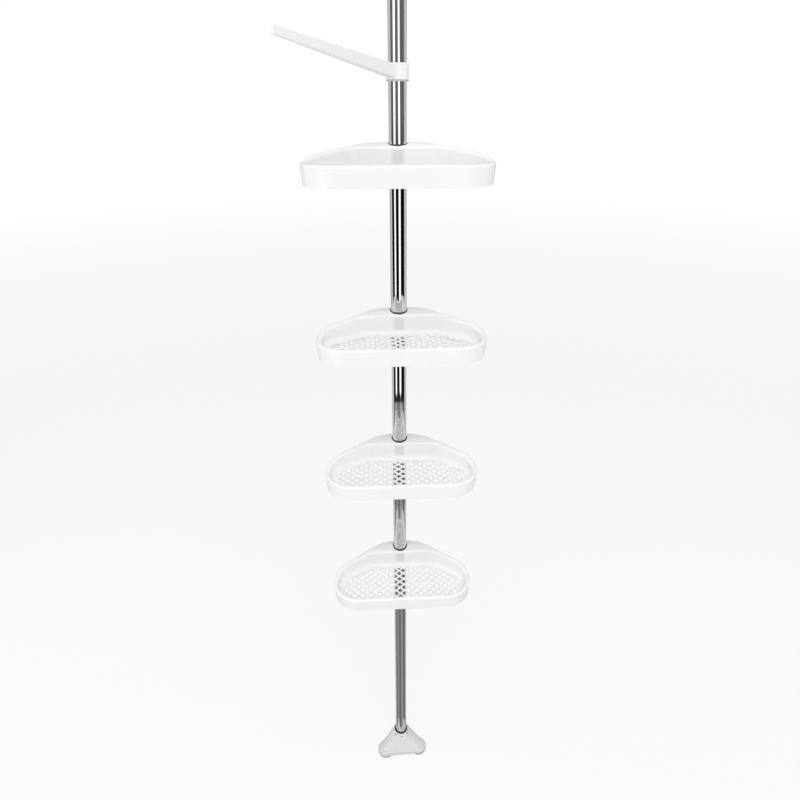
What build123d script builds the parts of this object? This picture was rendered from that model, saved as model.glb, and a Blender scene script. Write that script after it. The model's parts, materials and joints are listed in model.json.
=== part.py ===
from build123d import *
from math import radians, tan
import os

# Corner shower caddy on a spring-loaded pole that stands between floor and ceiling.
# Millimetres. The origin is on the floor, on the pole's axis. +Z is up, -Y faces the room.

# Clearances
RUN_GAP = 0.1           # between a round piece and the round piece it slides or turns on
SEAT_GAP = 0.2          # between two pieces that face each other and move apart
FIT_GAP = 0.03          # between two pieces that are pressed together

# Pole tubes
TUBE_R = 12.5
TUBE_WALL = 0.8
TUBE_LENGTH = 640.0
TUBE_NAMES = ("lower_tube", "middle_tube", "upper_tube")
JOINT_LENGTH = 90.0
JOINT_WALL = 1.5
PLUG_LENGTH = 22.0
PLUG_WALL = 2.0
PLUG_LIP = 2.0

# Feet, the same moulding at the floor and at the ceiling
FOOT_HEIGHT = 40.0
FOOT_RIM_HEIGHT = 11.0
FOOT_LOBE_X = 39.5
FOOT_LOBE_Y = -27.5
FOOT_LOBE_R = 18.5
FOOT_LOBE_HEIGHT = 15.0
FOOT_LOBE_ROUND = 6.0
FOOT_WEB_R = 16.5
FOOT_BACK_R = 19.5
FOOT_NECK_R = 18.2
FOOT_NECK_SPREAD = 2.0
FOOT_NECK_ROUND = 1.2
FOOT_WALL = 2.4
FOOT_SOCKET_R = 15.2
FOOT_SOCKET_FLOOR = 4.0
FOOT_SLOT_TURN = 45.0
FOOT_SLOT_R = 20.5
FOOT_SLOT_WIDTH = 3.4
FOOT_SLOT_LENGTH = 2.2
FOOT_SLOT_DEPTH = 6.0
FOOT_YAW = 5.0
PAD_THICKNESS = 4.0
PAD_INSET = 0.5
PAD_ROUND = 0.8
PAD_STUD_R = 4.0
PAD_STUD_LENGTH = 5.0
PAD_BOSS_WALL = 2.5
REAR_PAD_R = 15.0
GROMMET_RECESS = 0.8

# Spring section inside the upper tube
TENSION_R = 9.5
TENSION_WALL = 0.8
TENSION_EXPOSED = 240.0
STOP_LENGTH = 24.0
STOP_SPIGOT = 18.0
STOP_SIDE_GAP = 0.3
BUSH_LENGTH = 40.0
BUSH_FLANGE = 4.0
BUSH_ROUND = 1.5
SPRING_FREE = 100.0
SPRING_R = 8.4
SPRING_WIRE_R = 1.1
SPRING_TURNS = 11
SEAT_LENGTH = 20.0
SEAT_PIN_R = 2.0
SEAT_PIN_RECESS = 0.2

# Trays, drawn about the pole with the underside of the skirt at zero height
TRAY_WIDTH = 258.0
TRAY_FRONT_Y = -125.0
TRAY_BACK_Y = 13.0
TRAY_SIDE_ANGLE = 31.5
TRAY_CORNER_R = 49.0
TRAY_BACK_R = 75.0
TRAY_DRAFT = 5.0
TRAY_FRONT_HEIGHT = 27.6
TRAY_DECK_HEIGHT = 45.5
TRAY_SLOPE_TOP_Y = -1.0
TRAY_SLOPE_FOOT_Y = -72.0
TRAY_SLOPE_ROUND = 60.0
TRAY_WALL = 2.2
TRAY_ROOF = 2.6
TRAY_RIM = 8.4
TRAY_RIM_ROUND = 3.0
BASIN_RIM_ROUND = 4.6
BASIN_FLOOR_Z = 11.0
BASIN_FLOOR_THICK = 1.8
BASIN_BACK_Y = -18.0
BASIN_BACK_R = 36.0
BASIN_DRAFT = 3.0
BASIN_ROUND = 9.0
LATTICE_PITCH_X = 15.8
LATTICE_PITCH_Y = 14.8
LATTICE_BAR = 2.4
LATTICE_OFFSET_X = -4.3
LATTICE_MARGIN = 9.5
LATTICE_LEAST_AREA = 14.0
BOSS_R = 17.2
BOSS_BOTTOM = 4.0
BOSS_ROUND = 1.5
BOSS_BACK_Y = 7.0
BORE_TOP_R = 14.2
BORE_BOTTOM_R = 15.3
RIB_THICK = 1.8
RIB_BOTTOM = 8.0
TRAY_UNDERSIDES = (1318.8, 1072.7, 832.9, 581.3)
TRAY_YAWS = (0.0, 3.3, 2.3, 3.0)

# Wedge collet under each tray
COLLET_RECESS = 1.2
COLLET_FLANGE_R = 18.0
COLLET_FLANGE = 2.5
COLLET_SPLIT = 1.6

# Towel arm
ARM_HEIGHT = 1452.0
ARM_AZIMUTH = 30.0
ARM_LENGTH = 248.5
ARM_RISE = 30.0
ARM_RING_R = 15.2
ARM_RING_HEIGHT = 20.0
ARM_RING_ROUND = 0.7
ARM_ROOT_WIDTH = 12.0
ARM_ROOT_HEIGHT = 17.0
ARM_TIP_HEIGHT = 8.8
ARM_TIP_WIDTH = 4.8
ARM_EDGE_ROUND = 1.2
ARM_BUSH_WALL = 1.1
ARM_BUSH_FLANGE = 1.4
ARM_BUSH_FLANGE_R = 15.7
ARM_BUSH_RECESS = 0.5

# Derived levels and radii
BASE = (Align.CENTER, Align.CENTER, Align.MIN)
BORE_R = TUBE_R - TUBE_WALL
SOCKET_Z = PAD_THICKNESS + FOOT_SOCKET_FLOOR
TUBE_BOTTOM = SOCKET_Z + SEAT_GAP + PLUG_LIP
TUBE_TOP = TUBE_BOTTOM + TUBE_LENGTH * len(TUBE_NAMES)
TENSION_TOP = TUBE_TOP + BUSH_FLANGE + TENSION_EXPOSED
STOP_TOP = TUBE_TOP + BUSH_FLANGE - BUSH_LENGTH - SEAT_GAP
STOP_BOTTOM = STOP_TOP - STOP_LENGTH
SEAT_TOP = STOP_BOTTOM - SPRING_FREE - 2 * FIT_GAP
CEILING_Z = TENSION_TOP + PLUG_LIP + SEAT_GAP + SOCKET_Z
RUN_R = TUBE_R + RUN_GAP


def tube(outer_r, inner_r, bottom, top):
    """Hollow round piece standing on the pole's axis."""
    return rod(outer_r, bottom, top) - rod(inner_r, bottom, top)


def rod(radius, bottom, top):
    """Solid round piece standing on the pole's axis."""
    return Pos(0, 0, bottom) * Cylinder(radius, top - bottom, align=BASE)


def round_cone(bottom_r, top_r, bottom, top):
    """Solid cone frustum standing on the pole's axis."""
    return Pos(0, 0, bottom) * Cone(bottom_r, top_r, top - bottom, align=BASE)


def edges_at(part, height):
    """Edges of a part that lie level at one height."""
    return [e for e in part.edges() if abs(e.bounding_box().min.Z - height) < 1e-4
            and abs(e.bounding_box().max.Z - height) < 1e-4]


def pole_tubes():
    """Equal tubes that stand end to end."""
    pieces = {}
    for index, name in enumerate(TUBE_NAMES):
        bottom = TUBE_BOTTOM + index * TUBE_LENGTH
        pieces[name] = tube(TUBE_R, BORE_R, bottom, bottom + TUBE_LENGTH)
    pin_hole = seat_pin_hole()
    pieces["upper_tube"] -= pin_hole
    return pieces


def tube_joint(index):
    """Sleeve inside the pole, half in one tube and half in the next."""
    middle = TUBE_BOTTOM + index * TUBE_LENGTH
    outer = BORE_R - FIT_GAP
    return tube(outer, outer - JOINT_WALL, middle - JOINT_LENGTH / 2, middle + JOINT_LENGTH / 2)


def end_plug(tube_r, wall):
    """Cap for a tube's end: a lip over the edge, which is at zero height, and a hollow stem inside."""
    stem_r = tube_r - wall - FIT_GAP
    return rod(tube_r, -PLUG_LIP, 0) + tube(stem_r, stem_r - PLUG_WALL, 0, PLUG_LENGTH)


def foot_plan(back_r, web_r, spread=1.0):
    """Hull of the round behind the pole and the two lobes, drawn in towards the pole by spread."""
    circles = Sketch() + Circle(back_r)
    for side in (-1, 1):
        circles += Pos(side * FOOT_LOBE_X * spread, FOOT_LOBE_Y * spread) * Circle(web_r)
    return make_hull(circles.edges())


def foot_dome(inset, bottom, rim, top):
    """Foot body: an upright rim, then straight flanks that run up to the neck."""
    low = foot_plan(FOOT_BACK_R - inset, FOOT_WEB_R - inset)
    neck_spread = FOOT_NECK_SPREAD / FOOT_LOBE_X
    high = foot_plan(FOOT_NECK_R - inset, FOOT_NECK_R - inset - FOOT_NECK_SPREAD / 2, neck_spread)
    skirt = Pos(0, 0, bottom) * extrude(low, rim - bottom)
    flanks = loft([Pos(0, 0, rim) * low, Pos(0, 0, top) * high], ruled=True)
    return skirt + flanks


def lobe_places():
    """Centres of the two front lobes."""
    return [Pos(side * FOOT_LOBE_X, FOOT_LOBE_Y, 0) for side in (-1, 1)]


def lobe(inset):
    """Round lobe with a rounded top, drawn in by inset, on the foot's underside."""
    height = FOOT_LOBE_HEIGHT - PAD_THICKNESS - inset
    body = Cylinder(FOOT_LOBE_R - inset, height, align=BASE)
    body = fillet(body.edges().group_by(Axis.Z)[-1], FOOT_LOBE_ROUND - inset)
    return Pos(0, 0, PAD_THICKNESS) * body


def foot():
    """Floor foot: hollow moulding with a socket for the pole, slots before it and two round lobes."""
    bottom = PAD_THICKNESS
    body = foot_dome(0, bottom, FOOT_RIM_HEIGHT, FOOT_HEIGHT)
    body = fillet(edges_at(body, FOOT_HEIGHT), FOOT_NECK_ROUND)
    hollow = foot_dome(FOOT_WALL, bottom, FOOT_RIM_HEIGHT - FOOT_WALL / 2, FOOT_HEIGHT - FOOT_WALL)
    for place in lobe_places():
        body += place * lobe(0)
        hollow += place * lobe(FOOT_WALL)
    hollow -= rod(FOOT_SOCKET_R + FOOT_WALL, bottom, FOOT_HEIGHT)
    stud_top = bottom + PAD_STUD_LENGTH + FIT_GAP
    for place in lobe_places():
        hollow -= place * rod(PAD_STUD_R + PAD_BOSS_WALL, bottom, FOOT_HEIGHT)
    body -= hollow
    body -= rod(FOOT_SOCKET_R, SOCKET_Z, FOOT_HEIGHT)
    for place in lobe_places():
        body -= place * rod(PAD_STUD_R + FIT_GAP, bottom, stud_top)
    slot = Box(FOOT_SLOT_WIDTH, FOOT_SLOT_LENGTH, 2 * FOOT_SLOT_DEPTH)
    for turn in (-FOOT_SLOT_TURN, 0, FOOT_SLOT_TURN):
        body -= Rot(0, 0, turn) * Pos(0, -FOOT_SLOT_R, FOOT_HEIGHT) * slot
    return body


def foot_pads():
    """Soft pads: one under each lobe with a stud pressed into the foot, and one under the socket."""
    disc = soft_disc(FOOT_LOBE_R - PAD_INSET)
    stud = rod(PAD_STUD_R, PAD_THICKNESS, PAD_THICKNESS + PAD_STUD_LENGTH)
    return [place * (disc + stud) for place in lobe_places()] + [soft_disc(REAR_PAD_R)]


def soft_disc(radius):
    """Flat round pad with its lower edge rounded."""
    disc = Cylinder(radius, PAD_THICKNESS, align=BASE)
    return fillet(disc.edges().group_by(Axis.Z)[0], PAD_ROUND)


def foot_grommet(pole_r):
    """Soft sleeve between the foot's socket and the tube that turns in it."""
    return tube(FOOT_SOCKET_R - FIT_GAP, pole_r + RUN_GAP, SOCKET_Z, FOOT_HEIGHT - GROMMET_RECESS)


def at_floor(piece):
    """Place of a foot piece at the floor."""
    return Rot(0, 0, FOOT_YAW) * piece


def at_ceiling(piece):
    """Place of a foot piece turned over against the ceiling."""
    return Pos(0, 0, CEILING_Z) * Rot(0, 0, FOOT_YAW) * Rot(0, 180, 0) * piece


def tension_tube():
    """Thin upper tube that the spring drives out of the pole."""
    return tube(TENSION_R, TENSION_R - TENSION_WALL, STOP_TOP, TENSION_TOP)


def tension_tube_stop():
    """Plug on the thin tube's lower end, too wide to pass the guide bush."""
    head = rod(BORE_R - STOP_SIDE_GAP, STOP_BOTTOM, STOP_TOP)
    spigot = rod(TENSION_R - TENSION_WALL - FIT_GAP, STOP_TOP, STOP_TOP + STOP_SPIGOT)
    return head + spigot


def guide_bush():
    """Flanged bush in the upper tube's mouth that guides the thin tube."""
    top = TUBE_TOP + BUSH_FLANGE
    sleeve = rod(BORE_R - FIT_GAP, top - BUSH_LENGTH, TUBE_TOP)
    flange = Pos(0, 0, TUBE_TOP) * Cylinder(TUBE_R, BUSH_FLANGE, align=BASE)
    flange = fillet(flange.edges().group_by(Axis.Z)[-1], BUSH_ROUND)
    return sleeve + flange - rod(TENSION_R + RUN_GAP, top - BUSH_LENGTH, top)


def tension_spring():
    """Compression spring between its seat and the thin tube's stop."""
    height = SPRING_FREE - 2 * SPRING_WIRE_R
    path = Helix(height / SPRING_TURNS, height, SPRING_R)
    wire = sweep(Plane(path @ 0, z_dir=path % 0) * Circle(SPRING_WIRE_R), path=path)
    return Pos(0, 0, SEAT_TOP + FIT_GAP + SPRING_WIRE_R) * wire


def seat_pin_hole():
    """Space of the cross hole through the upper tube and the spring seat."""
    hole = Cylinder(SEAT_PIN_R + FIT_GAP, 4 * TUBE_R)
    return Pos(0, 0, SEAT_TOP - SEAT_LENGTH / 2) * Rot(90, 0, 0) * hole


def spring_seat():
    """Plug pinned inside the upper tube for the spring to stand on."""
    return rod(BORE_R - FIT_GAP, SEAT_TOP - SEAT_LENGTH, SEAT_TOP) - seat_pin_hole()


def spring_seat_pin():
    """Cross pin through tube and seat, its ends just under the tube's surface."""
    length = 2 * (TUBE_R - SEAT_PIN_RECESS)
    return Pos(0, 0, SEAT_TOP - SEAT_LENGTH / 2) * Rot(90, 0, 0) * Cylinder(SEAT_PIN_R, length)


def tray_outline():
    """Plan outline of the tray at its front rim."""
    side = radians(TRAY_SIDE_ANGLE)
    front_x = TRAY_WIDTH / 2 - TRAY_CORNER_R + TRAY_CORNER_R / tan(side / 2)
    back_x = front_x - (TRAY_BACK_Y - TRAY_FRONT_Y) / tan(side)
    front = [(-front_x, TRAY_FRONT_Y), (front_x, TRAY_FRONT_Y)]
    back = [(back_x, TRAY_BACK_Y), (-back_x, TRAY_BACK_Y)]
    plan = make_face(Polyline(*front, *back, close=True))
    plan = fillet(plan.vertices().group_by(Axis.Y)[0], TRAY_CORNER_R)
    return fillet(plan.vertices().group_by(Axis.Y)[-1], TRAY_BACK_R)


def tray_block(inset):
    """Outside of the tray, drawn in by inset and not yet cut to the rim's slope."""
    foot_inset = TRAY_FRONT_HEIGHT * tan(radians(TRAY_DRAFT)) + inset
    plan = offset(tray_outline(), -foot_inset)
    return extrude(plan, TRAY_DECK_HEIGHT, taper=-TRAY_DRAFT)


def above_rim(drop):
    """Everything over the rim's sloping line, lowered by drop."""
    far = TRAY_WIDTH
    deck = TRAY_DECK_HEIGHT - drop
    front = TRAY_FRONT_HEIGHT - drop
    line = [(far, deck), (TRAY_SLOPE_TOP_Y, deck), (TRAY_SLOPE_FOOT_Y, front), (-far, front)]
    side = make_face(Polyline(*line, (-far, far), (far, far), close=True))
    bends = [v for v in side.vertices() if abs(v.X) < far / 2]
    side = fillet(bends, TRAY_SLOPE_ROUND)
    return extrude(Plane.YZ * side, far, both=True)


def basin_plan(grow):
    """Outline of the tray's floor, moved out by grow."""
    inset = TRAY_RIM + (TRAY_FRONT_HEIGHT - BASIN_FLOOR_Z) * tan(radians(BASIN_DRAFT))
    far = TRAY_WIDTH
    in_front = Pos(0, BASIN_BACK_Y - far / 2) * Rectangle(2 * far, far)
    plan = offset(tray_outline(), -inset) & in_front
    plan = fillet(plan.vertices().group_by(Axis.Y)[-1], BASIN_BACK_R)
    return offset(plan, grow) if grow else plan


def basin(grow, floor_z):
    """Hollow of the tray, moved out by grow."""
    height = TRAY_DECK_HEIGHT + TRAY_RIM - floor_z
    return Pos(0, 0, floor_z) * extrude(basin_plan(grow), height, taper=-BASIN_DRAFT)


def lattice_holes():
    """Diamond holes of the floor grid."""
    spacing = LATTICE_PITCH_X * LATTICE_PITCH_Y / (LATTICE_PITCH_X ** 2 + LATTICE_PITCH_Y ** 2) ** 0.5
    share = 1 - LATTICE_BAR / spacing
    half_x = LATTICE_PITCH_X / 2 * share
    half_y = LATTICE_PITCH_Y / 2 * share
    diamond = make_face(Polyline((half_x, 0), (0, half_y), (-half_x, 0), (0, -half_y), close=True))
    region = basin_plan(-LATTICE_MARGIN)
    box = region.bounding_box()
    columns = int(box.max.X / LATTICE_PITCH_X) + 1
    rows = int(box.size.Y / LATTICE_PITCH_Y) + 1
    holes = []
    for row in range(2 * rows + 1):
        y = box.max.Y - row * LATTICE_PITCH_Y / 2
        shift = LATTICE_OFFSET_X + LATTICE_PITCH_X / 2 * (row % 2)
        for column in range(-columns, columns + 1):
            cut = (Pos(column * LATTICE_PITCH_X + shift, y) * diamond) & region
            holes += [face for face in cut.faces() if face.area > LATTICE_LEAST_AREA] if cut else []
    return Sketch() + holes


def rim_edges(body, inner):
    """Edges that bound the rim and deck towards the basin, or those round the outside."""
    low = BASIN_FLOOR_Z + TRAY_RIM
    tops = [f for f in body.faces() if f.normal_at().Z > 0.5 and f.center().Z > low]
    edges = [edge for face in tops for edge in face.edges()]
    bounds = [e for e in edges if sum(e.is_same(other) for other in edges) == 1]
    middle = offset(tray_outline(), -TRAY_RIM / 2).face()
    return [e for e in bounds if middle.is_inside(Vector((e @ 0.5).X, (e @ 0.5).Y)) == inner]


def tray():
    """One tray: skirt, rim, sloping basin, gridded floor and the boss that the pole passes through."""
    body = tray_block(0) - above_rim(0) - basin(0, BASIN_FLOOR_Z)
    body = fillet(rim_edges(body, True), BASIN_RIM_ROUND)
    body = fillet(rim_edges(body, False), TRAY_RIM_ROUND)
    body = fillet(edges_at(body, BASIN_FLOOR_Z), BASIN_ROUND)
    under = tray_block(TRAY_WALL) - above_rim(TRAY_ROOF)
    under -= basin(TRAY_WALL, BASIN_FLOOR_Z - BASIN_FLOOR_THICK)
    rib_height = TRAY_DECK_HEIGHT - RIB_BOTTOM
    rib = Pos(0, 0, RIB_BOTTOM) * Box(TRAY_WIDTH, RIB_THICK, rib_height, align=BASE)
    boss = rod(BOSS_R, BOSS_BOTTOM, TRAY_DECK_HEIGHT)
    body -= under - rib - boss
    body += boss_back()
    grid = extrude(lattice_holes(), BASIN_FLOOR_THICK)
    return body - Pos(0, 0, BASIN_FLOOR_Z - BASIN_FLOOR_THICK) * grid - bore()


def boss_back():
    """Part of the boss that stands out behind the tray, level with the deck."""
    boss = rod(BOSS_R, BOSS_BOTTOM, TRAY_DECK_HEIGHT)
    boss = fillet(boss.edges().group_by(Axis.Z)[-1], BOSS_ROUND)
    behind = Pos(0, BOSS_BACK_Y + TRAY_WIDTH / 2, 0) * Box(TRAY_WIDTH, TRAY_WIDTH, TRAY_WIDTH)
    return boss & behind


def bore():
    """Tapered hole for the collet and pole, with room for the collet's flange at its foot."""
    cone = round_cone(BORE_BOTTOM_R, BORE_TOP_R, BOSS_BOTTOM, TRAY_DECK_HEIGHT)
    return cone + rod(COLLET_FLANGE_R + SEAT_GAP, 0, BOSS_BOTTOM)


def tray_collet():
    """Two tapered half sleeves that wedge between the pole and the tray's boss."""
    top = TRAY_DECK_HEIGHT - COLLET_RECESS
    wedge = round_cone(BORE_BOTTOM_R - SEAT_GAP, BORE_TOP_R - SEAT_GAP, BOSS_BOTTOM, top)
    flange_top = BOSS_BOTTOM - SEAT_GAP
    flange = rod(COLLET_FLANGE_R, flange_top - COLLET_FLANGE, flange_top)
    neck = rod(BORE_BOTTOM_R - SEAT_GAP, flange_top, BOSS_BOTTOM)
    sleeve = wedge + neck + flange - rod(RUN_R, 0, top)
    sleeve -= Box(4 * TUBE_R, COLLET_SPLIT, 4 * TRAY_DECK_HEIGHT)
    return sleeve.solids()


def arm_bar():
    """Tapering, slightly rising bar along +X from the pole's axis."""
    root_middle = (ARM_ROOT_HEIGHT - ARM_RING_HEIGHT) / 2
    root = (0, root_middle, ARM_ROOT_WIDTH, ARM_ROOT_HEIGHT)
    tip = (ARM_LENGTH, ARM_RISE, ARM_TIP_WIDTH, ARM_TIP_HEIGHT)
    sections = []
    for x, middle, width, height in (root, tip):
        plane = Plane((x, 0, middle), x_dir=(0, 1, 0), z_dir=(1, 0, 0))
        sections.append(plane * RectangleRounded(width, height, ARM_EDGE_ROUND))
    return loft(sections, ruled=True)


def towel_arm():
    """Ring on the pole with the arm."""
    ring = Cylinder(ARM_RING_R, ARM_RING_HEIGHT)
    ring = fillet(ring.edges(), ARM_RING_ROUND)
    return ring + arm_bar() - Cylinder(RUN_R + ARM_BUSH_WALL + SEAT_GAP, 2 * ARM_RING_HEIGHT)


def towel_arm_bush():
    """Split sleeve that grips the pole inside the arm's ring, with a flange that the ring rests on."""
    ring_bottom = -ARM_RING_HEIGHT / 2
    flange_top = ring_bottom - SEAT_GAP
    sleeve = rod(RUN_R + ARM_BUSH_WALL, flange_top, -ring_bottom - ARM_BUSH_RECESS)
    flange = rod(ARM_BUSH_FLANGE_R, flange_top - ARM_BUSH_FLANGE, flange_top)
    body = sleeve + flange - Cylinder(RUN_R, 4 * ARM_RING_HEIGHT)
    return body - Pos(0, TUBE_R, 0) * Box(COLLET_SPLIT, 2 * TUBE_R, 4 * ARM_RING_HEIGHT)


def feet():
    """Both feet with their pads and grommets."""
    pieces = {}
    one_foot = foot()
    ends = (("base_foot", at_floor, TUBE_R), ("ceiling_foot", at_ceiling, TENSION_R))
    for name, place, pole_r in ends:
        pieces[name] = place(one_foot)
        pieces[name + "_grommet"] = place(foot_grommet(pole_r))
        pieces[name + "_pads"] = [place(pad) for pad in foot_pads()]
    return pieces


def pole():
    """Tubes, their inner joints and end plugs, and the spring section."""
    pieces = pole_tubes()
    pieces["lower_tube_joint"] = tube_joint(1)
    pieces["upper_tube_joint"] = tube_joint(2)
    pieces["lower_tube_plug"] = Pos(0, 0, TUBE_BOTTOM) * end_plug(TUBE_R, TUBE_WALL)
    pieces["spring_seat"] = spring_seat()
    pieces["spring_seat_pin"] = spring_seat_pin()
    pieces["tension_spring"] = tension_spring()
    pieces["guide_bush"] = guide_bush()
    pieces["tension_tube"] = tension_tube()
    pieces["tension_tube_stop"] = tension_tube_stop()
    top_plug = Rot(180, 0, 0) * end_plug(TENSION_R, TENSION_WALL)
    pieces["tension_tube_plug"] = Pos(0, 0, TENSION_TOP) * top_plug
    return pieces


def trays():
    """Equal trays, counted from the top, each on its own collet."""
    pieces = {}
    one_tray = tray()
    one_collet = tray_collet()
    for index, (height, yaw) in enumerate(zip(TRAY_UNDERSIDES, TRAY_YAWS), start=1):
        place = Pos(0, 0, height) * Rot(0, 0, yaw)
        pieces[f"tray_{index}"] = place * one_tray
        pieces[f"tray_{index}_collet"] = [place * half for half in one_collet]
    return pieces


def arm():
    """Towel arm and its bush on the pole."""
    place = Pos(0, 0, ARM_HEIGHT) * Rot(0, 0, -90 - ARM_AZIMUTH)
    return {"towel_arm": place * towel_arm(), "towel_arm_bush": place * towel_arm_bush()}


def main():
    """Write each piece of the caddy as a file of its own."""
    os.makedirs("parts", exist_ok=True)
    for name, piece in {**feet(), **pole(), **trays(), **arm()}.items():
        solids = piece if isinstance(piece, list) else piece.solids()
        shape = solids[0] if len(solids) == 1 else Compound(children=list(solids))
        export_step(shape, f"parts/{name}.step")


if __name__ == "__main__":
    main()
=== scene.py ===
import json
import math

import bpy
from mathutils import Matrix, Vector

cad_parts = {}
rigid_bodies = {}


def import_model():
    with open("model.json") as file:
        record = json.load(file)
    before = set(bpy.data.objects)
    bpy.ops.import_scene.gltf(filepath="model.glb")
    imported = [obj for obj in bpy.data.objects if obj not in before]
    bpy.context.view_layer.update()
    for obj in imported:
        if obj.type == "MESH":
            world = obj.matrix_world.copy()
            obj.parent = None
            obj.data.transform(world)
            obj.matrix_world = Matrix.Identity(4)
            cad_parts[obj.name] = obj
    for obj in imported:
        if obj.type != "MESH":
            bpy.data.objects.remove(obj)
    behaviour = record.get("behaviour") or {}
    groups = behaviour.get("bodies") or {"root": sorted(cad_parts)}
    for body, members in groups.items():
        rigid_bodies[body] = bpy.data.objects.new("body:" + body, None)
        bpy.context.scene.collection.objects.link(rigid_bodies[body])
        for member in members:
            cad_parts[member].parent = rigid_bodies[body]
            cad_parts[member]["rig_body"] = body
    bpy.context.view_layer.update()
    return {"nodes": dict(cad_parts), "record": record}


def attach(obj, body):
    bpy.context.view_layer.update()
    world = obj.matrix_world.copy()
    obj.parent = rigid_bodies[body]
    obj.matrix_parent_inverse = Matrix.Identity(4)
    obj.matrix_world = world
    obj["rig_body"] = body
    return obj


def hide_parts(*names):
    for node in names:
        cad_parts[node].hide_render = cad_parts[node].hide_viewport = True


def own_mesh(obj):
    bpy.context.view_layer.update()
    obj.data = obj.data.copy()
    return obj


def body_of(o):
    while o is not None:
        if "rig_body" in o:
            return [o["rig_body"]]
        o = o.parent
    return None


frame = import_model()

# Dresses the CAD pieces, puts a copy of the spring in its place, and builds the white studio of the
# photo.
# Lengths are in metres and angles in degrees. A turn runs round the pole, from the camera's side to
# the right.
FULL_TURN = 360.0

# Camera, solved from the trays' outlines, the pole and the foot
CAMERA_PLACE = (0.0, -0.8961, 1.4217)
CAMERA_TILT = 27.571       # under the horizon
CAMERA_TURN = -0.09        # about the upright
CAMERA_ROLL = -0.28        # about its own axis
CAMERA_LENS = 26.115       # millimetres, as is the sensor's width
CAMERA_SENSOR = 36.0
CAMERA_NEAR = 0.01

# Lights. A span is the heights of a light's lower and upper edge.
AMBIENT = 0.42             # what the surroundings add to every side
BOX_DISTANCE = 1.8
BOX_SPAN = (0.05, 1.8)
BOX_RADIANCE = 1.32
LEFT_BOX_TURN = -43.0
LEFT_BOX_WIDTH = 0.7
RIGHT_BOX_TURN = 21.0
RIGHT_BOX_WIDTH = 0.85
FILL_WIDTH = 1.0
SIDE_FILL_TURN = 88.0
SIDE_FILL_DISTANCE = 2.0
SIDE_FILL_SPAN = (0.5, 2.3)
LEFT_FILL_RADIANCE = 2.1
RIGHT_FILL_RADIANCE = 1.5
FRONT_FILL_TURN = 0.0
FRONT_FILL_DISTANCE = 1.3
FRONT_FILL_SPAN = (1.0, 1.34)  # under the top tray's rim, so that its inside stays darker
FRONT_FILL_RADIANCE = 0.9
KEY_PLACE = (0.2, -2.0, 4.4)
KEY_AIM = (0.0, 0.0, 1.0)
KEY_SIZE = 2.8
KEY_RADIANCE = 3.6

# Floor, from its pale part round the object to white far away
FLOOR_SIZE = 400.0
FLOOR_COLOUR = 0.8
FLOOR_WHITE_NEAR = 0.82    # share of plain white in the floor's look
FLOOR_FADE = (2.0, 9.0)    # distances between which it grows to 1

# Studio walls and ground that only gloss shows
WALL_RADIUS = 2.6
WALL_TOP = 2.7
FRONT_WALL_TURN = 92.0     # half of the dark wall's arc
FRONT_WALL_GLOW = (0.003, 0.15)
FRONT_WALL_RISE = (0.95, 1.36)  # heights between which its glow grows
BACK_WALL_GLOW = 0.65
BACK_BAND_GLOW = 0.08
BACK_BAND_TURN = 150.0
BACK_BAND_WIDTH = 16.0
GROUND_LIFT = 0.0005       # over the floor
GROUND_RINGS = ((0.70, 1.0), (0.95, 1.3), (1.40, 1.0), (1.82, 1.3))  # outer radius, gain
GROUND_SECTORS = (         # first turn, glow
    (-FRONT_WALL_TURN, 0.12), (-70, 0.30), (-28, 0.17), (8, 0.33), (56, 0.10),
    (FRONT_WALL_TURN, 0.50),
)
FAR_GROUND_GLOW = 0.01
ARC_STEP = 5.0
ARC_STEPS_MIN = 4

# Surfaces
NOISE_SPAN = (0.3, 0.7)    # where most values of a noise lie
WHITE = ((0.852, 0.854, 0.850), (0.872, 0.873, 0.870))
# The feet's white is the same white plastic made darker: painted shade for the weaker light near
# the floor.
FOOT_WHITE_PAINTED_SHADE = ((0.626, 0.630, 0.628), (0.648, 0.651, 0.649))
FEET = ("base_foot", "ceiling_foot")
TRAYS = ("tray_1", "tray_2", "tray_3", "tray_4")

# Painted shade of the pole in the trays' back walls, a darker strip where the pole stands behind
# the thin wall: each edge fades between two values
POLE_SHADE_HALF_WIDTH = (0.0055, 0.0110)
POLE_SHADE_FRONT = (-0.030, -0.026)
POLE_SHADE_BACK = (-0.0165, -0.0155)
POLE_SHADE_FOOT = (0.36, 0.44)  # shares of the tray's height
POLE_SHADE_TOP = (0.80, 0.86)
POLE_SHADE_FACTOR = 0.83

# Spring that the thin tube presses together
SPRING = "tension_spring"


def place_of(tree, stretch=(1, 1, 1)):
    """Position on the piece, drawn out along an axis where stretch is under 1."""
    place = tree.nodes.new("ShaderNodeTexCoord").outputs["Object"]
    if stretch == (1, 1, 1):
        return place
    mapping = tree.nodes.new("ShaderNodeMapping")
    mapping.inputs["Scale"].default_value = stretch
    tree.links.new(place, mapping.inputs["Vector"])
    return mapping.outputs["Vector"]


def axes(tree, place):
    """The three coordinates of a position, by name."""
    node = tree.nodes.new("ShaderNodeSeparateXYZ")
    tree.links.new(place, node.inputs[0])
    return node.outputs


def noise(tree, scale, detail, stretch=(1, 1, 1)):
    """Noise value over the surface."""
    node = tree.nodes.new("ShaderNodeTexNoise")
    node.inputs["Scale"].default_value = scale
    node.inputs["Detail"].default_value = detail
    tree.links.new(place_of(tree, stretch), node.inputs["Vector"])
    return node.outputs["Fac"]


def calculate(tree, operation, *values):
    """Result of a math node that takes one or more values."""
    node = tree.nodes.new("ShaderNodeMath")
    node.operation = operation
    for value, socket in zip(values, node.inputs):
        tree.links.new(value, socket)
    return node.outputs[0]


def from_to(tree, value, start, end, low, high):
    """A value taken from the range start to end to the range low to high, and kept in it."""
    node = tree.nodes.new("ShaderNodeMapRange")
    node.inputs["From Min"].default_value = start
    node.inputs["From Max"].default_value = end
    node.inputs["To Min"].default_value = low
    node.inputs["To Max"].default_value = high
    tree.links.new(value, node.inputs["Value"])
    return node.outputs["Result"]


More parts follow.
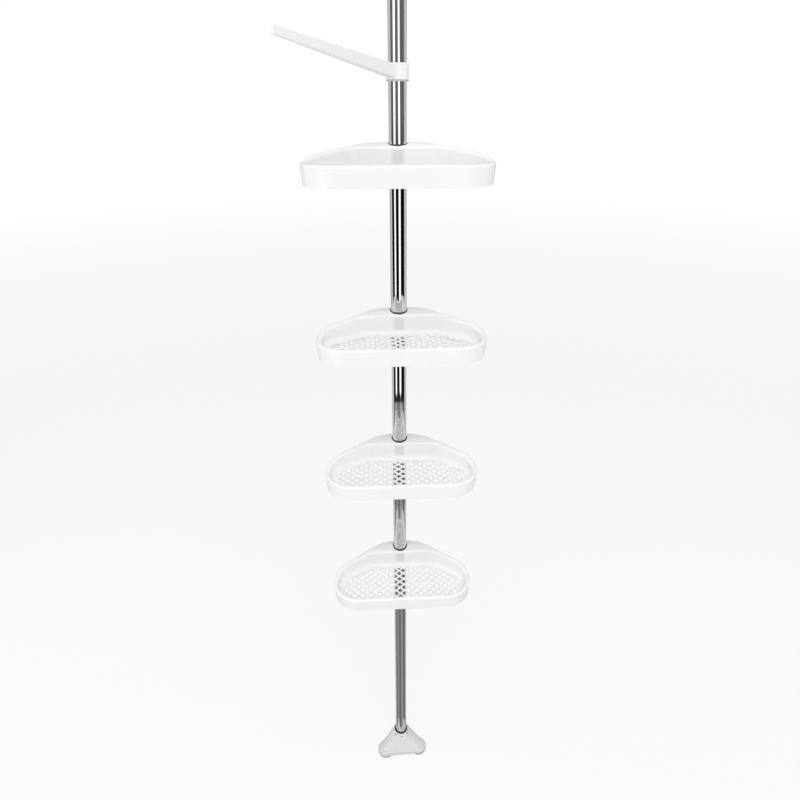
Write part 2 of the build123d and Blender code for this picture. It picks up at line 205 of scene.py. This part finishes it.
def tint(tree, value, colours):
    """A noise value taken to a colour between two."""
    node = tree.nodes.new("ShaderNodeValToRGB")
    for element, position, colour in zip(node.color_ramp.elements, NOISE_SPAN, colours):
        element.position = position
        element.color = (*colour, 1)
    tree.links.new(value, node.inputs["Fac"])
    return node.outputs["Color"]


def bump(tree, value, depth, strength):
    """Surface direction on a relief of a given depth."""
    node = tree.nodes.new("ShaderNodeBump")
    node.inputs["Strength"].default_value = strength
    node.inputs["Distance"].default_value = depth
    tree.links.new(value, node.inputs["Height"])
    return node.outputs["Normal"]


def finish(name, colours, colour_noise, roughness, roughness_noise, relief_noise, depth, strength,
           metallic=0.0):
    """Material with a colour and a roughness that drift between two values, and a fine relief.

    A noise is given by its scale, its detail and, where it is drawn out, its stretch.
    """
    material = bpy.data.materials.new(name)
    material.use_nodes = True
    tree = material.node_tree
    shader = tree.nodes["Principled BSDF"].inputs
    shader["Metallic"].default_value = metallic
    colour = tint(tree, noise(tree, *colour_noise), colours)
    tree.links.new(colour, shader["Base Color"])
    rough = from_to(tree, noise(tree, *roughness_noise), *NOISE_SPAN, *roughness)
    tree.links.new(rough, shader["Roughness"])
    relief = bump(tree, noise(tree, *relief_noise), depth, strength)
    tree.links.new(relief, shader["Normal"])
    return material


def white_plastic(name, colours):
    """Satin moulded white plastic with faint flow marks and orange peel."""
    return finish(
        name,
        colours=colours, colour_noise=(7, 1),
        roughness=(0.28, 0.34), roughness_noise=(20, 1),
        relief_noise=(300, 2), depth=0.00003, strength=0.12,
    )


def tray_plastic_painted_shade():
    """The white plastic with a painted shade: a little darker in a strip where the pole stands
    behind the thin wall before it.
    """
    material = white_plastic("tray_plastic_painted_shade", WHITE)
    tree = material.node_tree
    base_colour = tree.nodes["Principled BSDF"].inputs["Base Color"]
    place = axes(tree, place_of(tree))
    share = axes(tree, tree.nodes.new("ShaderNodeTexCoord").outputs["Generated"])
    aside = calculate(tree, "ABSOLUTE", place["X"])
    painted_shade = from_to(tree, aside, *POLE_SHADE_HALF_WIDTH, 1, 0)
    for value, edge, low, high in (
        (place["Y"], POLE_SHADE_FRONT, 0, 1),
        (place["Y"], POLE_SHADE_BACK, 1, 0),
        (share["Z"], POLE_SHADE_FOOT, 0, 1),
        (share["Z"], POLE_SHADE_TOP, 1, 0),
    ):
        painted_shade = calculate(tree, "MULTIPLY", painted_shade, from_to(tree, value, *edge, low, high))
    # The base colour is scaled down in the strip: painted shade of the pole.
    shade = tree.nodes.new("ShaderNodeVectorMath")
    shade.operation = "SCALE"
    tree.links.new(base_colour.links[0].from_socket, shade.inputs[0])
    tree.links.new(from_to(tree, painted_shade, 0, 1, 1, POLE_SHADE_FACTOR), shade.inputs["Scale"])
    tree.links.new(shade.outputs[0], base_colour)
    return material


def chrome():
    """Bright chrome over a drawn tube: faint lengthwise lines and a little haze."""
    haze = (26, 5)
    return finish(
        "chrome",
        colours=((0.76, 0.765, 0.77), (0.79, 0.795, 0.80)), colour_noise=haze,
        roughness=(0.03, 0.06), roughness_noise=haze,
        relief_noise=(520, 2, (1, 1, 0.004)), depth=0.00001, strength=0.06,
        metallic=1.0,
    )


def soft_rubber():
    """Matt black rubber with a fine grain."""
    return finish(
        "soft_rubber",
        colours=((0.020, 0.020, 0.021), (0.040, 0.040, 0.041)), colour_noise=(60, 4),
        roughness=(0.62, 0.85), roughness_noise=(180, 3),
        relief_noise=(1600, 2), depth=0.00008, strength=0.5,
    )


def dark_plastic():
    """Satin dark grey plastic with a spark-eroded grain."""
    return finish(
        "dark_plastic",
        colours=((0.030, 0.030, 0.032), (0.050, 0.050, 0.052)), colour_noise=(45, 4),
        roughness=(0.38, 0.55), roughness_noise=(140, 3),
        relief_noise=(1200, 2), depth=0.00005, strength=0.4,
    )


def grey_plastic():
    """Matt moulded grey plastic."""
    return finish(
        "grey_plastic",
        colours=((0.50, 0.505, 0.51), (0.56, 0.565, 0.57)), colour_noise=(30, 4),
        roughness=(0.42, 0.6), roughness_noise=(90, 3),
        relief_noise=(900, 2), depth=0.00005, strength=0.4,
    )


def bare_steel():
    """Zinc-coated steel with fine drawn lines."""
    lines = (900, 3, (1, 1, 0.02))
    return finish(
        "bare_steel",
        colours=((0.46, 0.47, 0.48), (0.60, 0.61, 0.62)), colour_noise=(80, 4),
        roughness=(0.25, 0.42), roughness_noise=lines,
        relief_noise=lines, depth=0.00002, strength=0.3,
        metallic=1.0,
    )


def dress_nodes():
    """Give every CAD piece the finish of its slot, the trays one with the pole's painted shade and
    the feet a white darkened as painted shade.
    """
    finishes = {
        "white_plastic": white_plastic("white_plastic", WHITE),
        "chrome_tube": chrome(),
        "black_rubber": soft_rubber(),
        "dark_plastic": dark_plastic(),
        "grey_plastic": grey_plastic(),
        "bare_steel": bare_steel(),
    }
    special = dict.fromkeys(TRAYS, tray_plastic_painted_shade())
    # Feet: the white plastic darkened as painted shade.
    special.update(dict.fromkeys(FEET, white_plastic("foot_plastic_painted_shade", FOOT_WHITE_PAINTED_SHADE)))
    for row in frame["record"]["subparts"]:
        material = special.get(row["node"], finishes[row["material_slot"]])
        for material_slot in frame["nodes"][row["node"]].material_slots:
            material_slot.material = material


def squeezed_spring():
    """Coil that stands for the CAD spring: a copy of its mesh that rides with the spring's body."""
    cad_spring = frame["nodes"][SPRING]
    coil = bpy.data.objects.new("spring_coil", cad_spring.data.copy())
    coil.matrix_world = cad_spring.matrix_world
    bpy.context.scene.collection.objects.link(coil)
    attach(coil, body_of(cad_spring)[0])
    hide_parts(SPRING)
    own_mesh(coil)


def seen_directly(tree):
    """1 for rays from the camera and for those that gloss or glass sends on."""
    path = tree.nodes.new("ShaderNodeLightPath").outputs
    seen = calculate(tree, "MAXIMUM", path["Is Camera Ray"], path["Is Glossy Ray"])
    return calculate(tree, "MAXIMUM", seen, path["Is Transmission Ray"])


def white_world():
    """White surroundings that light every side a little."""
    world = bpy.data.worlds.new("white_world")
    bpy.context.scene.world = world
    world.use_nodes = True
    tree = world.node_tree
    background = tree.nodes["Background"].inputs
    background["Color"].default_value = (1, 1, 1, 1)
    strength = from_to(tree, seen_directly(tree), 0, 1, AMBIENT, 1)
    tree.links.new(strength, background["Strength"])


def bare_material(name):
    """Material with no shader yet, its node tree and the socket that the shader goes to."""
    material = bpy.data.materials.new(name)
    material.use_nodes = True
    tree = material.node_tree
    tree.nodes.remove(tree.nodes["Principled BSDF"])
    return material, tree, tree.nodes["Material Output"].inputs["Surface"]


def stage_piece(name, points, faces, material):
    """Mesh that belongs to the studio and not to the object."""
    mesh = bpy.data.meshes.new(name)
    mesh.from_pydata(points, [], faces)
    mesh.materials.append(material)
    piece = bpy.data.objects.new(name, mesh)
    bpy.context.scene.collection.objects.link(piece)
    return piece


def floor():
    """White floor that keeps a soft shadow."""
    material, tree, surface = bare_material("floor")
    matt = tree.nodes.new("ShaderNodeBsdfDiffuse")
    matt.inputs["Color"].default_value = (FLOOR_COLOUR, FLOOR_COLOUR, FLOOR_COLOUR, 1)
    white = tree.nodes.new("ShaderNodeEmission")
    far = tree.nodes.new("ShaderNodeVectorMath")
    far.operation = "LENGTH"
    tree.links.new(place_of(tree), far.inputs[0])
    fade = from_to(tree, far.outputs["Value"], *FLOOR_FADE, FLOOR_WHITE_NEAR, 1)
    mixed = tree.nodes.new("ShaderNodeMixShader")
    share = calculate(tree, "MULTIPLY", fade, seen_directly(tree))
    tree.links.new(share, mixed.inputs["Fac"])
    tree.links.new(matt.outputs[0], mixed.inputs[1])
    tree.links.new(white.outputs[0], mixed.inputs[2])
    tree.links.new(mixed.outputs[0], surface)
    half = FLOOR_SIZE / 2
    corners = [(-half, -half, 0), (half, -half, 0), (half, half, 0), (-half, half, 0)]
    stage_piece("floor", corners, [(0, 1, 2, 3)], material)


def glow(name, strength):
    """Material with an even light of its own."""
    material, tree, surface = bare_material(name)
    material.cycles.emission_sampling = "NONE"
    light = tree.nodes.new("ShaderNodeEmission")
    light.inputs["Strength"].default_value = strength
    tree.links.new(light.outputs[0], surface)
    return material


def rising_glow(name, strengths, heights):
    """Material with a light of its own that grows between two heights."""
    low, high = strengths
    material = glow(name, low)
    tree = material.node_tree
    height = axes(tree, place_of(tree))["Z"]
    strength = from_to(tree, height, *heights, low, high)
    tree.links.new(strength, tree.nodes["Emission"].inputs["Strength"])
    return material


def arc_points(radius, height, start, end):
    """Points round the pole from one turn to another."""
    steps = max(ARC_STEPS_MIN, round((end - start) / ARC_STEP))
    turns = [math.radians(start + (end - start) * step / steps) for step in range(steps + 1)]
    return [(radius * math.sin(turn), -radius * math.cos(turn), height) for turn in turns]


def band(name, first_row, second_row, material):
    """Strip between two rows of points, seen in gloss only."""
    count = len(first_row)
    faces = [(i, i + 1, count + i + 1, count + i) for i in range(count - 1)]
    piece = stage_piece(name, first_row + second_row, faces, material)
    piece.visible_camera = False
    piece.visible_diffuse = False
    piece.visible_shadow = False


def wall(name, start, end, material):
    """Upright stretch of the studio wall."""
    rows = [arc_points(WALL_RADIUS, height, start, end) for height in (0, WALL_TOP)]
    band(name, *rows, material)


def ground(name, inner, outer, start, end, material):
    """Level stretch of the ground round the object."""
    rows = [arc_points(radius, GROUND_LIFT, start, end) for radius in (inner, outer)]
    band(name, *rows, material)


def walls(pale):
    """Dark wall in front, and a pale one with a dark band on either side behind."""
    dark = rising_glow("dark_wall", FRONT_WALL_GLOW, FRONT_WALL_RISE)
    shade = glow("wall_band", BACK_BAND_GLOW)
    near = BACK_BAND_TURN - BACK_BAND_WIDTH / 2
    far = BACK_BAND_TURN + BACK_BAND_WIDTH / 2
    wall("front_wall", -FRONT_WALL_TURN, FRONT_WALL_TURN, dark)
    wall("back_wall_right", FRONT_WALL_TURN, near, pale)
    wall("back_band_right", near, far, shade)
    wall("back_wall", far, FULL_TURN - far, pale)
    wall("back_band_left", FULL_TURN - far, FULL_TURN - near, shade)
    wall("back_wall_left", FULL_TURN - near, FULL_TURN - FRONT_WALL_TURN, pale)


def grounds(pale):
    """Grey sectors in rings round the object, and beyond them black in front and pale behind."""
    ends = [start for start, light in GROUND_SECTORS[1:]] + [GROUND_SECTORS[0][0] + FULL_TURN]
    inner = 0
    for ring, (outer, gain) in enumerate(GROUND_RINGS, start=1):
        for sector, ((start, light), end) in enumerate(zip(GROUND_SECTORS, ends), start=1):
            name = f"near_ground_{ring}_{sector}"
            ground(name, inner, outer, start, end, glow(name, gain * light))
        inner = outer
    black = glow("far_ground", FAR_GROUND_GLOW)
    ground("far_ground_front", inner, WALL_RADIUS, -FRONT_WALL_TURN, FRONT_WALL_TURN, black)
    back = (FRONT_WALL_TURN, FULL_TURN - FRONT_WALL_TURN)
    ground("far_ground_back", inner, WALL_RADIUS, *back, pale)


def surroundings():
    """What the chrome shows of the studio."""
    pale = glow("pale_wall", BACK_WALL_GLOW)
    walls(pale)
    grounds(pale)


def around(turn, distance, height):
    """Place at a turn round the pole, facing the pole."""
    spin = Matrix.Rotation(math.radians(turn), 4, "Z")
    step = Matrix.Translation((0, -distance, height))
    face = Matrix.Rotation(math.radians(90), 4, "X")
    return spin @ step @ face


def aimed(place, aim):
    """Place that faces a point."""
    way = Vector(aim) - Vector(place)
    return Matrix.Translation(place) @ way.to_track_quat("-Z", "Y").to_matrix().to_4x4()


def area_light(name, width, height, radiance, place):
    """Rectangular soft light of an even radiance."""
    data = bpy.data.lights.new(name, "AREA")
    data.shape = "RECTANGLE"
    data.size = width
    data.size_y = height
    data.energy = radiance * math.pi * width * height
    light = bpy.data.objects.new(name, data)
    light.matrix_world = place
    light.visible_camera = False
    bpy.context.scene.collection.objects.link(light)
    return light


def lights():
    """Two tall soft boxes beside the camera, fills beside and before the object, a key high up."""
    low, high = BOX_SPAN
    for name, turn, width in (
        ("left_box", LEFT_BOX_TURN, LEFT_BOX_WIDTH),
        ("right_box", RIGHT_BOX_TURN, RIGHT_BOX_WIDTH),
    ):
        place = around(turn, BOX_DISTANCE, (low + high) / 2)
        area_light(name, width, high - low, BOX_RADIANCE, place)
    for name, turn, distance, (low, high), radiance in (
        ("left_fill", -SIDE_FILL_TURN, SIDE_FILL_DISTANCE, SIDE_FILL_SPAN, LEFT_FILL_RADIANCE),
        ("right_fill", SIDE_FILL_TURN, SIDE_FILL_DISTANCE, SIDE_FILL_SPAN, RIGHT_FILL_RADIANCE),
        ("front_fill", FRONT_FILL_TURN, FRONT_FILL_DISTANCE, FRONT_FILL_SPAN, FRONT_FILL_RADIANCE),
    ):
        place = around(turn, distance, (low + high) / 2)
        fill = area_light(name, FILL_WIDTH, high - low, radiance, place)
        fill.visible_glossy = False
    area_light("key", KEY_SIZE, KEY_SIZE, KEY_RADIANCE, aimed(KEY_PLACE, KEY_AIM))


def camera():
    """Camera at the photo's viewpoint."""
    data = bpy.data.cameras.new("camera")
    data.lens = CAMERA_LENS
    data.sensor_width = CAMERA_SENSOR
    data.clip_start = CAMERA_NEAR
    data.clip_end = FLOOR_SIZE
    item = bpy.data.objects.new("camera", data)
    turn = Matrix.Rotation(math.radians(CAMERA_TURN), 4, "Z")
    tilt = Matrix.Rotation(math.radians(90 - CAMERA_TILT), 4, "X")
    roll = Matrix.Rotation(math.radians(CAMERA_ROLL), 4, "Z")
    item.matrix_world = Matrix.Translation(CAMERA_PLACE) @ turn @ tilt @ roll
    bpy.context.scene.collection.objects.link(item)
    bpy.context.scene.camera = item


dress_nodes()
squeezed_spring()
white_world()
floor()
surroundings()
lights()
camera()
bpy.context.scene.view_settings.view_transform = "Standard"
